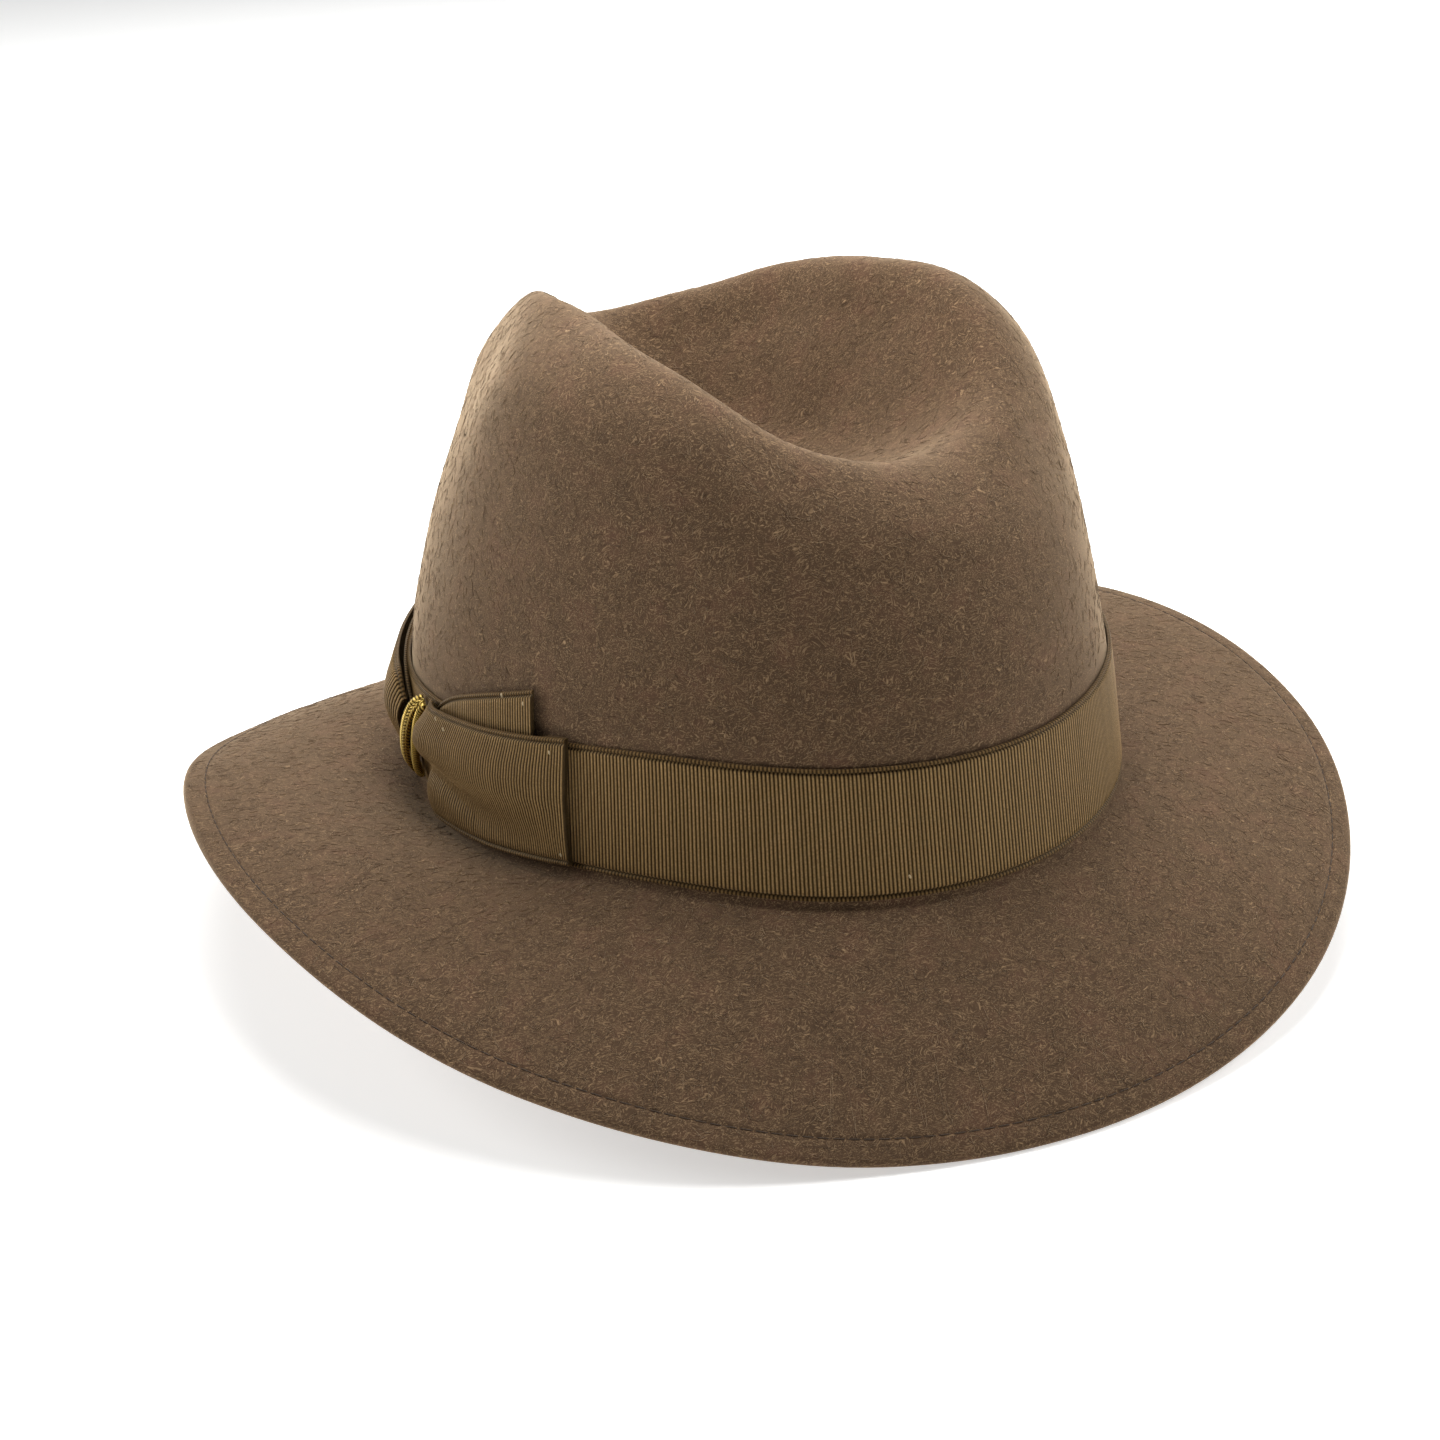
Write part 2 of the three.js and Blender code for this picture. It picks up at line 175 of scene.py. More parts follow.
felt = {
    "headLength": 204,
    "headWidth": 170,
    "headSetback": 2.3,         # the head oval's middle lies this far behind the origin
    "breakHeight": 32.7,        # mean height of the line between crown and brim
    "creaseFloor": 83,          # deepest point of the crease, above that line
    "bandTop": 34.6,
    "crownLean": 2.5,           # degrees by which the crown leans forward above the ribbon
    "thickness": 1.6,
    "brimWidth": 62,
    "brimRoll": 10,             # degrees flatter at the crown, and steeper at the edge, than the droop
    "breakRadius": 2.5,
    "weltWidth": 7,             # the edge is turned under and stitched down over this width
    "weltStep": 1,
    "weltThickness": 3,
    "middleRise": 0.38,         # heights of the wall's stations, from 0 at the ribbon to 1 at the shoulder
    "upperRise": 0.72,
    "breakLift": [-3.2, -1.8, -3.6, 0.9, 5.6, 4, 3.2, 4.3, 4.8, 0.9, -3.6, -5.8],
    "bandReach": [0.969, 0.991, 1.008, 0.987, 0.961, 0.954, 0.961, 0.963, 0.965, 0.976, 0.979, 0.974],
    "middleReach": [0.928, 0.925, 0.93, 0.922, 0.925, 0.938, 0.948, 0.931, 0.918, 0.92, 0.923, 0.925],
    "upperReach": [0.858, 0.817, 0.815, 0.845, 0.867, 0.889, 0.899, 0.891, 0.866, 0.845, 0.821, 0.83],
    "shoulderReach": [0.755, 0.735, 0.688, 0.744, 0.786, 0.816, 0.84, 0.814, 0.787, 0.744, 0.701, 0.729],
    "shoulderDrop": [12.5, 14, 16.6, 10.3, 9.7, 10.4, 10, 10.1, 10.1, 10.4, 13, 14.1],
    "rimReach": [0.619, 0.553, 0.519, 0.501, 0.613, 0.687, 0.69, 0.697, 0.614, 0.488, 0.485, 0.491],
    "rimHeight": [107.1, 120.2, 126.6, 126.6, 122.5, 106, 98, 104, 123, 124.4, 120, 112.8],
    "droop": [24.9, 12.6, -7.6, -2.3, 20.1, 33.8, 33.1, 23.5, 9.8, 1.3, 6.6, 22.7],
    "dishReach": [0, 0.35, 0.72],   # inside the crease: parts of the rim's reach, and of its height
    "dishRise": [0, 0.1, 0.62],
    "columns": 216,             # divisions round the head
    "stationSteps": 11,         # divisions from one station of the crown to the next
    "turnSteps": 5,             # divisions of the turn from the crown to the brim
    "brimSteps": 22,            # divisions of the brim, up to the stitched line
    "edgeSteps": 7,             # divisions round the turned edge
    "waviness": 0.25,           # height of the hand-blocked felt's slight unevenness
    "wavesFrom": 8,             # it starts this far above and below the ribbon
    "wavesFade": 14,            # and is full after this much more
    "stitchLine": 6,            # the stitched line's distance from the edge
    "stitchDent": 0.2,
    "dentWidth": 0.5,
}
lastStation = 8                 # stations run from 0 at the crease's lowest point to this one at the break


def smooth(a, b, c, d, t):
    # the curve through four even values, from b at t = 0 to c at t = 1
    square = 2 * a - 5 * b + 4 * c - d
    cube = 3 * b - a - 3 * c + d
    return 0.5 * (2 * b + (c - a) * t + square * t ** 2 + cube * t ** 3)


def sectionValue(column, theta):
    values = np.asarray(felt[column], float)
    count = len(values)
    place = (theta / (2 * math.pi) * count) % count
    first = np.floor(place).astype(int)
    return smooth(*(values[(first + step) % count] for step in (-1, 0, 1, 2)), place - first)


def rowValue(values, place):
    # a smooth value on an open list of numbers or arrays, at any place along it
    values = np.stack([np.broadcast_to(np.asarray(value, float), place.shape) for value in values])
    last = len(values) - 1
    first = np.clip(np.floor(place).astype(int), 0, last - 1)
    near = [np.clip(first + step, 0, last)[None] for step in (-1, 0, 1, 2)]
    a, b, c, d = (np.take_along_axis(values, index, 0)[0] for index in near)
    a = np.where(first > 0, a, 2 * b - c)
    d = np.where(first + 2 <= last, d, 2 * c - b)
    return smooth(a, b, c, d, place - first)


def crownPoint(theta, place):
    theta, place = np.broadcast_arrays(np.asarray(theta, float), np.asarray(place, float))
    rim = sectionValue("rimHeight", theta)
    rimReach = sectionValue("rimReach", theta)
    lift = sectionValue("breakLift", theta)
    bandTop = lift + felt["bandTop"]
    shoulder = rim - sectionValue("shoulderDrop", theta)
    reaches = [rimReach * part for part in felt["dishReach"]] + [rimReach]
    wallReaches = ("shoulderReach", "upperReach", "middleReach", "bandReach")
    reaches += [sectionValue(name, theta) for name in wallReaches]
    heights = [felt["creaseFloor"] + (rim - felt["creaseFloor"]) * part for part in felt["dishRise"]]
    heights += [rim, shoulder]
    heights += [bandTop + (shoulder - bandTop) * felt[name] for name in ("upperRise", "middleRise")]
    reach = rowValue(reaches + [np.ones_like(theta)], place)
    height = rowValue(heights + [bandTop, lift + felt["breakRadius"]], place)
    lean = np.maximum(height - felt["bandTop"], 0) * math.tan(math.radians(felt["crownLean"]))
    x = felt["headWidth"] / 2 * reach * np.sin(theta)
    y = felt["headSetback"] - lean - felt["headLength"] / 2 * reach * np.cos(theta)
    return np.stack([x, y, felt["breakHeight"] + height], -1)


def unit(vectors):
    return vectors / np.maximum(np.linalg.norm(vectors, axis=-1, keepdims=True), 1e-9)


def outward(theta):
    # level direction that leaves the head oval squarely
    x = np.sin(theta) / felt["headWidth"]
    y = -np.cos(theta) / felt["headLength"]
    return unit(np.stack([x, y, 0 * theta], -1))


def brimRows(theta, stops):
    # rows of points out from the crown: the turn, then the brim at each distance along the felt
    droop = sectionValue("droop", theta)
    out = outward(theta)
    point = crownPoint(theta, lastStation)
    turn = (90 - droop + felt["brimRoll"]) / felt["turnSteps"]
    bend = felt["breakRadius"] * np.radians(turn)
    walks = [(bend, 90 - turn * (step + 0.5)) for step in range(felt["turnSteps"])]
    before = 0
    for stop in stops:
        middle = (before + stop) / 2 / felt["brimWidth"]
        walks.append((stop - before, droop + felt["brimRoll"] * (2 * middle - 1)))
        before = stop
    rows = []
    for length, slope in walks:
        angle = np.radians(slope)
        point = point + out * (length * np.cos(angle))[:, None]
        point[:, 2] -= length * np.sin(angle)
        rows.append(point)
    return rows


def gridNormals(grid, closedRound=True):
    wide = np.concatenate([grid[:, -1:], grid, grid[:, :1]], 1) if closedRound else grid
    along = wide[:, 2:] - wide[:, :-2] if closedRound else np.gradient(grid, axis=1)
    return unit(np.cross(np.gradient(grid, axis=0), along))


def walkedLength(points):
    # the distance walked along a row of points, at each of them
    return np.concatenate([[0], np.cumsum(np.linalg.norm(np.diff(points, axis=0), axis=-1))])


def gridFaces(rows, columns, closedRound):
    row, column = np.meshgrid(np.arange(rows - 1), np.arange(columns - (not closedRound)), indexing="ij")
    right = (column + 1) % columns
    here, below = row * columns, (row + 1) * columns
    corners = [here + column, below + column, below + right, here + right]
    return np.stack(corners, -1).reshape(-1, 4)


def makePiece(name, points, faces, material, layers=None):
    # points are millimetres, each face's corners are a row, and layers are named numbers at the points
    mesh = bpy.data.meshes.new(name)
    faces = [np.asarray(group) for group in (faces if isinstance(faces, list) else [faces])]
    corners = np.concatenate([group.ravel() for group in faces])
    sizes = np.concatenate([np.full(len(group), group.shape[1]) for group in faces])
    mesh.vertices.add(len(points))
    mesh.vertices.foreach_set("co", (np.asarray(points) * mm).astype(np.float32).ravel())
    mesh.loops.add(len(corners))
    mesh.loops.foreach_set("vertex_index", corners.astype(np.int32))
    mesh.polygons.add(len(sizes))
    mesh.polygons.foreach_set("loop_start", (np.cumsum(sizes) - sizes).astype(np.int32))
    mesh.polygons.foreach_set("use_smooth", np.ones(len(sizes), bool))
    mesh.update(calc_edges=True)
    for layer, values in (layers or {}).items():
        attribute = mesh.attributes.new(layer, "FLOAT", "POINT")
        attribute.data.foreach_set("value", np.asarray(values, np.float32).ravel())
    mesh.materials.append(material)
    piece = bpy.data.objects.new(name, mesh)
    bpy.context.collection.objects.link(piece)
    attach(piece, "root")
    return piece


def newMaterial(name, finish, **shaderValues):
    material = bpy.data.materials.new(name)
    material.use_nodes = True
    tree = material.node_tree
    shader = tree.nodes["Principled BSDF"]
    shader.inputs["Roughness"].default_value = finish["roughness"]
    for socket, value in shaderValues.items():
        shader.inputs[socket].default_value = value
    if "sheen" in finish:
        shader.inputs["Sheen Weight"].default_value = finish["sheen"]
        shader.inputs["Sheen Roughness"].default_value = finish["sheenRoughness"]
        shader.inputs["Sheen Tint"].default_value = linearColour(finish["sheenTint"])
    if "specular" in finish:
        shader.inputs["Specular IOR Level"].default_value = finish["specular"]
    return material, tree, shader


# Fur felt: fur fibres matted together and brushed, so the surface is matt, mottled and softly hairy,
# and its nap catches the light where it is seen edge on.

feltFinish = {
    "shade": "#4e3b2a",
    "light": "#94795a",
    "deep": "#493727",
    "reddish": "#543d2d",
    "mottle": 9,                # millimetres across the large, cloudy mottling
    "grain": 1.5,               # and across the clumps of fibre
    "clumpTones": (0.9, 1.1),
    "fibreLength": 2.6,
    "fibreWidth": 0.28,         # a real fibre is under a tenth of this, too fine to show
    "fibreCurl": 5,             # the fibres bend this far, over about the same distance
    # how the four sets of fibres are turned, in radians
    "fibreTurns": [(0.3, 0.2, 0.4), (1.2, 0.5, 1.5), (0.6, 1.3, 2.6), (1.9, 0.9, 0.7)],
    "fibreShown": (0.6, 0.76),  # noise below the first shows no fibre, above the second a whole one
    "bump": 0.03,
    "roughness": 0.92,
    "specular": 0.2,
    "sheen": 0.75,
    "sheenRoughness": 0.34,
    "sheenTint": "#dfc6a4",
}


def furFelt():
    material, tree, shader = newMaterial("brushed fur felt", feltFinish, IOR=1.5)
    curl = feltFinish["fibreCurl"] * mm
    place = addNode(tree, "ShaderNodeTexCoord").outputs["Object"]
    cloud = addNode(tree, "ShaderNodeTexNoise",
                    {"Scale": 1 / (feltFinish["mottle"] * mm), "Detail": 3.0}, {0: place})
    clump = addNode(tree, "ShaderNodeTexNoise",
                    {"Scale": 1 / (feltFinish["grain"] * mm), "Detail": 4.0, "Roughness": 0.65}, {0: place})
    swirl = addNode(tree, "ShaderNodeTexNoise", {"Scale": 1 / curl, "Detail": 1.0}, {0: place})
    bend = addNode(tree, "ShaderNodeVectorMath", {1: (0.5, 0.5, 0.5)}, {0: swirl.outputs["Color"]},
                   operation="SUBTRACT")
    bend = addNode(tree, "ShaderNodeVectorMath", {3: curl}, {0: bend.outputs[0]}, operation="SCALE")
    bent = addNode(tree, "ShaderNodeVectorMath", {}, {0: place, 1: bend.outputs[0]}, operation="ADD")
    across = 1 / (feltFinish["fibreWidth"] * mm)
    along = 1 / (feltFinish["fibreLength"] * mm)
    total = None
    for turn in feltFinish["fibreTurns"]:
        turned = addNode(tree, "ShaderNodeMapping", {"Rotation": turn}, {0: bent.outputs[0]})
        drawn = addNode(tree, "ShaderNodeMapping", {"Scale": (across, across, along)},
                        {0: turned.outputs[0]})
        streak = addNode(tree, "ShaderNodeTexNoise", {"Scale": 1.0, "Detail": 1.5}, {0: drawn.outputs[0]})
        if total is None:
            total = streak.outputs["Fac"]
        else:
            total = addNode(tree, "ShaderNodeMath", {}, {0: total, 1: streak.outputs["Fac"]},
                            operation="MAXIMUM").outputs[0]
    none, whole = feltFinish["fibreShown"]
    fibre = addNode(tree, "ShaderNodeMapRange", {1: none, 2: whole, 3: 0.0, 4: 1.0}, {0: total})
    cloudTints = [(0.3, feltFinish["deep"]), (0.5, feltFinish["shade"]), (0.7, feltFinish["reddish"])]
    base = addNode(tree, "ShaderNodeValToRGB", {}, {0: cloud.outputs["Fac"]}, ramp=cloudTints)
    lit = addNode(tree, "ShaderNodeMix", {7: linearColour(feltFinish["light"])},
                  {0: fibre.outputs[0], 6: base.outputs[0]}, data_type="RGBA")
    dark, pale = feltFinish["clumpTones"]
    spread = addNode(tree, "ShaderNodeMapRange", {1: 0.3, 2: 0.7, 3: dark, 4: pale},
                     {0: clump.outputs["Fac"]})
    tone = addNode(tree, "ShaderNodeVectorMath", {}, {0: lit.outputs[2], 3: spread.outputs[0]},
                   operation="SCALE")
    tree.links.new(tone.outputs[0], shader.inputs["Base Color"])
    bump = addNode(tree, "ShaderNodeBump", {"Strength": 0.5, "Distance": feltFinish["bump"] * mm},
                   {"Height": clump.outputs["Fac"]})
    tree.links.new(bump.outputs[0], shader.inputs["Normal"])
    return material


feltMaterial = furFelt()


def unevenness(points):
    # slow waves left by blocking the felt by hand, none at the ribbon's height: a coordinate over 13
    # gives waves 82 mm long, and one over 9 gives waves 57 mm long
    x, y, z = (points[..., axis] for axis in range(3))
    wave = np.sin(x / 13 + 1.7 * np.sin(y / 19)) * np.sin(y / 17 + z / 21 + 1)
    wave = wave + 0.6 * np.sin(z / 9 + x / 23 - y / 11)
    band = felt["breakHeight"] + felt["bandTop"] / 2
    away = np.clip((np.abs(z - band) - felt["bandTop"] / 2 - felt["wavesFrom"]) / felt["wavesFade"], 0, 1)
    return felt["waviness"] * wave * away


theta = np.linspace(0, 2 * math.pi, felt["columns"], endpoint=False)


def feltGrids():
    # the outer face from the crease out to the edge, and its normals
    places = np.linspace(0, lastStation, lastStation * felt["stationSteps"] + 1)
    crown = crownPoint(theta[None, :], places[:, None])
    edge = felt["brimWidth"] - felt["weltThickness"] / 2
    line = felt["brimWidth"] - felt["stitchLine"]
    # rows over the brim, close ones over the stitched line's dent, and rows out to the edge
    stops = list(np.linspace(0, line - 3, felt["brimSteps"] + 1)[1:]) + [line - 1.6]
    stops += [line + shift * felt["dentWidth"] for shift in (-1.6, -1, -0.5, 0, 0.5, 1, 1.6)]
    stops += list(np.linspace(line + 1.6, edge, 4))
    brim = np.stack(brimRows(theta, stops))
    grid = np.concatenate([crown, brim])
    normals = gridNormals(grid)
    normals[0] = unit(normals[1].mean(0))
    across = np.concatenate([np.zeros(len(grid) - len(stops)), stops])
    dent = felt["stitchDent"] * np.exp(-((across - line) / felt["dentWidth"]) ** 2)
    grid = grid + normals * (unevenness(grid) - dent[:, None])[..., None]
    return grid, normals, across


def pressedFlat(points):
    # the soft edge is pressed flat where the hat rests on it
    return np.where(np.arange(3) == 2, np.maximum(points, 0), points)


def feltMesh(grid, normals, across):
    line = felt["brimWidth"] - felt["stitchLine"]
    stepFrom = felt["brimWidth"] - felt["weltWidth"] - felt["weltStep"]
    thin, thick = felt["thickness"], felt["weltThickness"]
    depth = np.interp(across, [0, stepFrom, stepFrom + felt["weltStep"] / 2], [thin, thin, thick])
    depth -= 2 * felt["stitchDent"] * np.exp(-((across - line) / felt["dentWidth"]) ** 2)
    half = felt["weltThickness"] / 2
    # the edge goes round in half a circle, from the outer face to the underside
    outerEdge, edgeNormal = grid[-1], normals[-1]
    outwards = unit(grid[-1] - grid[-2])
    middle = outerEdge - edgeNormal * half
    turned = []
    for step in range(1, felt["edgeSteps"]):
        angle = math.pi * step / felt["edgeSteps"]
        turned.append(middle + edgeNormal * half * math.cos(angle) + outwards * half * math.sin(angle))
    # the hidden inside of the crown needs only every other row
    crownRows = lastStation * felt["stationSteps"]
    keep = [0] + list(range(2, crownRows, 2)) + list(range(crownRows, len(grid)))
    under = (grid - normals * depth[:, None, None])[keep][::-1]
    under = pressedFlat(under)
    rows = np.concatenate([grid[1:], pressedFlat(np.stack(turned)), under[:-1]])
    points = np.concatenate([rows.reshape(-1, 3), grid[0, :1], under[-1, :1]])
    faces = gridFaces(len(rows), felt["columns"], True)
    column = np.arange(felt["columns"])
    after = (column + 1) % felt["columns"]
    top, bottom = len(points) - 2, len(points) - 1
    base = (len(rows) - 1) * felt["columns"]
    caps = [np.stack([np.full_like(column, top), column, after], -1),
            np.stack([np.full_like(column, bottom), base + after, base + column], -1)]
    return points, [faces] + caps


outerGrid, outerNormals, outerAcross = feltGrids()
feltPoints, feltFaces = feltMesh(outerGrid, outerNormals, outerAcross)
feltHat = makePiece("felt_hat", feltPoints, feltFaces, feltMaterial)
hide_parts("felt_body")
print("felt made", len(feltHat.data.polygons))


# Loose fibres of the nap, lying over the felt and lifting a little at their ends

nap = {
    "seed": 11,
    "crownCount": 14000,
    "brimCount": 14000,
    "clearRows": 4,             # rows of the felt left bare at the crease's lowest point and at the break
    "length": (1.6, 4.2),
    "radius": 0.048,            # about five times a real fibre's, which would be too fine to show
    "lift": (0, 0.12),
    "rootHeight": 0.02,
    "curl": 0.55,               # spread, in radians, of how far a fibre turns along its length
    "tintPatch": 3,             # fibres this close, in millimetres, share one tint
    "tints": [(0.0, "#513e2d"), (0.55, "#65513d"), (1.0, "#8a7155")],
}
fibreFinish = {**feltFinish, "roughness": 0.7}      # the felt's gloss, on a smoother surface


def looseFibre():
    # single fur fibres, brushed up: dull, and a little paler than the matted felt below
    material, tree, shader = newMaterial("loose fur fibre", fibreFinish, IOR=1.54)
    place = addNode(tree, "ShaderNodeTexCoord").outputs["Object"]
    patch = addNode(tree, "ShaderNodeVectorMath", {1: (nap["tintPatch"] * mm,) * 3}, {0: place},
                    operation="SNAP")
    pick = addNode(tree, "ShaderNodeTexWhiteNoise", {}, {0: patch.outputs[0]})
    tint = addNode(tree, "ShaderNodeValToRGB", {}, {0: pick.outputs[0]}, ramp=nap["tints"])
    tree.links.new(tint.outputs[0], shader.inputs["Base Color"])
    return material


fibreMaterial = looseFibre()


def gridPoint(grid, row, column):
    row = np.clip(row, 0, len(grid) - 1.001)
    r, c = np.floor(row).astype(int), np.floor(column).astype(int)
    u, v = (row - r)[..., None], (column - c)[..., None]
    columns = grid.shape[1]
    a, b = grid[r, c % columns], grid[r, (c + 1) % columns]
    d, e = grid[r + 1, c % columns], grid[r + 1, (c + 1) % columns]
    return a * (1 - u) * (1 - v) + b * (1 - u) * v + d * u * (1 - v) + e * u * v


def makeNap(name, firstRow, lastRow, count, rng):
    # each fibre is a thin spindle of eight points, laid along the felt in a slight curve
    grid = outerGrid[firstRow:lastRow + 1]
    normals = outerNormals[firstRow:lastRow + 1]
    down = np.linalg.norm(np.diff(grid, axis=0), axis=-1)
    ring = np.linalg.norm(np.roll(grid, -1, 1) - grid, axis=-1)[:-1]
    area = (down * ring).ravel()
    cell = rng.choice(len(area), count, p=area / area.sum())
    row = cell // grid.shape[1] + rng.random(count)
    column = cell % grid.shape[1] + rng.random(count)
    rowStep, columnStep = down.ravel()[cell], np.maximum(ring.ravel()[cell], 0.4)
    heading = rng.random(count) * 2 * math.pi
    curl = rng.normal(0, nap["curl"], count)
    length = rng.uniform(*nap["length"], count)
    tip = rng.uniform(*nap["lift"], count) * rng.random(count)
    normal = unit(gridPoint(normals, row, column))
    path = []
    for step, height in ((0, 0), (1, 0.5), (2, 1.0), (3, 1.0)):
        reach = length * step / 3
        turn = heading + curl * step / 3
        rowHere = row + reach * np.cos(turn) / rowStep
        columnHere = column + reach * np.sin(turn) / columnStep
        point = gridPoint(grid, rowHere, columnHere)
        path.append(point + normal * (nap["rootHeight"] + height * tip)[:, None])
    along = unit(path[2] - path[1])
    side = unit(np.cross(along, normal))
    other = np.cross(side, along)
    points = [path[0]]
    for middle in (path[1], path[2]):
        for corner in range(3):
            angle = 2 * math.pi * corner / 3
            points.append(middle + (side * math.cos(angle) + other * math.sin(angle)) * nap["radius"])
    points.append(path[3])
    points = np.stack(points, 1).reshape(-1, 3)
    pattern = [(0, 1, 2), (0, 2, 3), (0, 3, 1), (7, 5, 4), (7, 6, 5), (7, 4, 6)]
    for corner in range(3):
        a, b = 1 + corner, 1 + (corner + 1) % 3
        pattern += [(a, a + 3, b + 3), (a, b + 3, b)]
    faces = (np.arange(count)[:, None, None] * 8 + np.array(pattern)[None]).reshape(-1, 3)
    piece = makePiece(name, points, faces[:, ::-1], fibreMaterial)


rng = np.random.default_rng(nap["seed"])
bandTopRow = (lastStation - 1) * felt["stationSteps"]
breakRow = lastStation * felt["stationSteps"]
makeNap("crown_nap", nap["clearRows"], bandTopRow - 1, nap["crownCount"], rng)
makeNap("brim_nap", breakRow + nap["clearRows"], len(outerGrid) - 1, nap["brimCount"], rng)
print("nap made")


# Grosgrain ribbon: woven rayon whose thick weft shows as round ribs across it, with corded selvedges.
# The ribs give it a fine, even ladder of light and shade, from their form and from painted shade and
# highlight, and a soft lustre where it is seen edge on.

ribbon = {
    "width": 32.6,
    "shade": "#170f06",         # painted shade between the ribs
    "light": "#957850",         # the ribbon's colour with a painted highlight, on a rib's crown
    # the selvedge's colour with a painted highlight, on the crowns of its ticks
    "selvedgeLight": "#735a3a",
    "ribShadeSharpness": 5.5,      # how fast the painted shade darkens a rib towards its sides
    "ribPitch": 0.95,           # a little coarser than the real ribs, at about 0.9, so that they show
    "ribSamples": 6,            # rows of points to a rib
    "ribDepth": 0.36,
    "ground": 0.62,             # thickness under the ribs
    "fieldEdge": 0.09,          # share of the width at which the ribbed field's columns start
    "selvedgeWidth": 1.2,
    "selvedgeTicks": 0.12,      # depth of the notches that the weft makes in the selvedge
    "gap": 0.3,                 # between the ribbon and the felt
    "warpPitch": 0.5,           # the warp's fine ticks on the ribs; real ones are 0.3 mm, too fine to show
    "warpBump": 0.06,
    "tickTones": (0.72, 1.25),
    "ribTones": (0.88, 1.12),   # slow change of tone from rib to rib
    "grooveShade": 0.4,          # painted shade: the groove beside the selvedge keeps this much of its colour
    "roughness": 0.55,
    "specular": 0.3,
    "specularTint": "#dcb878",
    "sheen": 0.1,
    "sheenRoughness": 0.35,
    "sheenTint": "#d8b480",
}
# the selvedge's section: distance from the edge, height above the ribbon's back,
# and how much it is a groove, which is darkened with painted shade
selvedge = [(0.0, 0.3, 0.0), (0.12, 0.75, 0.0), (0.5, 0.98, 0.0), (0.85, 0.85, 0.1), (1.1, 0.5, 0.8),
            (1.3, 0.4, 1.0), (1.5, 0.5, 0.5), (1.75, 0.62, 0.0)]


def grosgrain():
    material, tree, shader = newMaterial("ribbed rayon grosgrain", ribbon, IOR=1.5)
    shader.inputs["Specular Tint"].default_value = linearColour(ribbon["specularTint"])
    layers = [addNode(tree, "ShaderNodeAttribute", attribute_name=name).outputs["Fac"]
              for name in ("rib", "edge", "groove", "across", "along")]
    rib, edge, groove, across, along = layers
    place = addNode(tree, "ShaderNodeCombineXYZ", {}, {0: across, 1: along})
    warp = addNode(tree, "ShaderNodeTexNoise", {"Scale": 1 / ribbon["warpPitch"], "Detail": 2.0},
                   {0: place.outputs[0]})
    # a noise drawn out across the ribbon, so whole ribs are paler or darker
    drawn = addNode(tree, "ShaderNodeMapping", {"Scale": (0.02, 0.6, 1.0)}, {0: place.outputs[0]})
    ribNoise = addNode(tree, "ShaderNodeTexNoise", {"Scale": 1.0, "Detail": 2.0}, {0: drawn.outputs[0]})
    # painted shade and highlight: each rib and selvedge tick is coloured light on its crown and near black
    # between, where shade would fall
    light = addNode(tree, "ShaderNodeMix",
                    {6: linearColour(ribbon["light"]), 7: linearColour(ribbon["selvedgeLight"])},
                    {0: edge}, data_type="RGBA")
    crown = addNode(tree, "ShaderNodeMath", {1: ribbon["ribShadeSharpness"]}, {0: rib}, operation="POWER")
    body = addNode(tree, "ShaderNodeMix", {6: linearColour(ribbon["shade"])},
                   {0: crown.outputs[0], 7: light.outputs[2]}, data_type="RGBA")
    tones = []
    for noise, (low, high) in ((warp, ribbon["tickTones"]), (ribNoise, ribbon["ribTones"])):
        tones.append(addNode(tree, "ShaderNodeMapRange", {1: 0.3, 2: 0.7, 3: low, 4: high},
                             {0: noise.outputs["Fac"]}).outputs[0])
    uneven = addNode(tree, "ShaderNodeMath", {}, {0: tones[0], 1: tones[1]}, operation="MULTIPLY")
    # painted shade darkens the groove beside each selvedge
    dark = addNode(tree, "ShaderNodeMapRange", {1: 0.0, 2: 1.0, 3: 1.0, 4: ribbon["grooveShade"]},
                   {0: groove})
    amount = addNode(tree, "ShaderNodeMath", {}, {0: uneven.outputs[0], 1: dark.outputs[0]},
                     operation="MULTIPLY")
    tone = addNode(tree, "ShaderNodeVectorMath", {}, {0: body.outputs[2], 3: amount.outputs[0]},
                   operation="SCALE")
    tree.links.new(tone.outputs[0], shader.inputs["Base Color"])
    bump = addNode(tree, "ShaderNodeBump", {"Strength": 0.5, "Distance": ribbon["warpBump"] * mm},
                   {"Height": warp.outputs["Fac"]})
    tree.links.new(bump.outputs[0], shader.inputs["Normal"])
    return material


ribbonMaterial = grosgrain()


def ribbonColumns(fieldColumns):
    # the ribbon from its lower edge to its upper one: share of the width, height, selvedge and groove
    low = []
    for distance, height, groove in selvedge:
        isEdge = 1.0 if distance < ribbon["selvedgeWidth"] else 0.0
        low.append((distance / ribbon["width"], height, isEdge, groove))
    places = np.linspace(ribbon["fieldEdge"], 1 - ribbon["fieldEdge"], fieldColumns)
    field = [(place, ribbon["ground"], 0.0, 0.0) for place in places]
    high = [(1 - place, height, isEdge, groove) for place, height, isEdge, groove in low[::-1]]
    return np.array(low + field + high)


def surfaceNormal(surface, s, t):
    step = 1e-3
    alongway = surface(s + step, t) - surface(s - step, t)
    acrossway = surface(s, t + step) - surface(s, t - step)
    return unit(np.cross(alongway, acrossway))


def ribWave(phase):
    # half-round ribs: 0 between two of them, 1 on a crown
    return np.sqrt(np.clip(1 - (2 * (phase % 1) - 1) ** 2, 0, 1))


